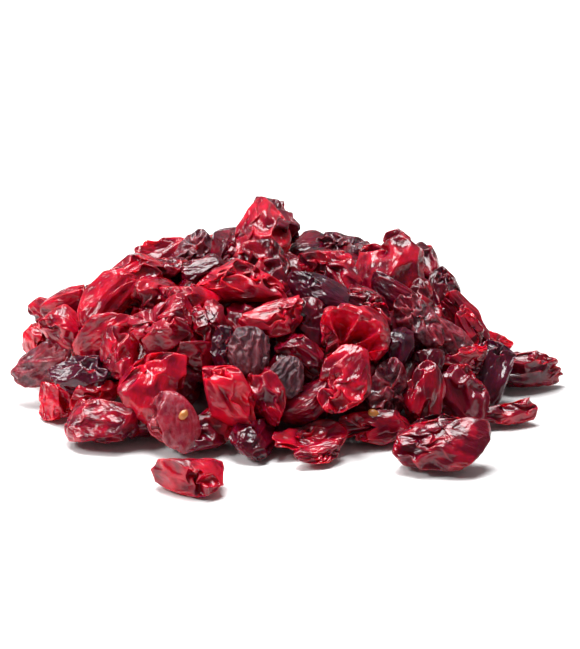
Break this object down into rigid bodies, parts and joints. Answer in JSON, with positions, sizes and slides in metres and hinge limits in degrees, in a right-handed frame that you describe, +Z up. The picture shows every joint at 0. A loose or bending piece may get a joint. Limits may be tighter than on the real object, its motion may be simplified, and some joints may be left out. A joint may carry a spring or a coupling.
{
  "type": "heap of dried cranberries",
  "caption": "Low mound of glossy, wrinkled dried cranberries lying on a flat surface, with a few that rolled to its foot.",
  "frame": {"origin": "on the surface that the heap lies on, under the middle of its bounding box", "axes": "+X to the heap's right as the picture shows it, +Y away from the viewer, +Z up"},
  "size_m": [0.0912, 0.0899, 0.0291],
  "materials": {
    "cranberry_skin": "glossy wrinkled fruit skin, dark red"
  },
  "bodies": {
    "root": {"cranberry_heap": "cranberry_skin"}
  },
  "joints": []
}
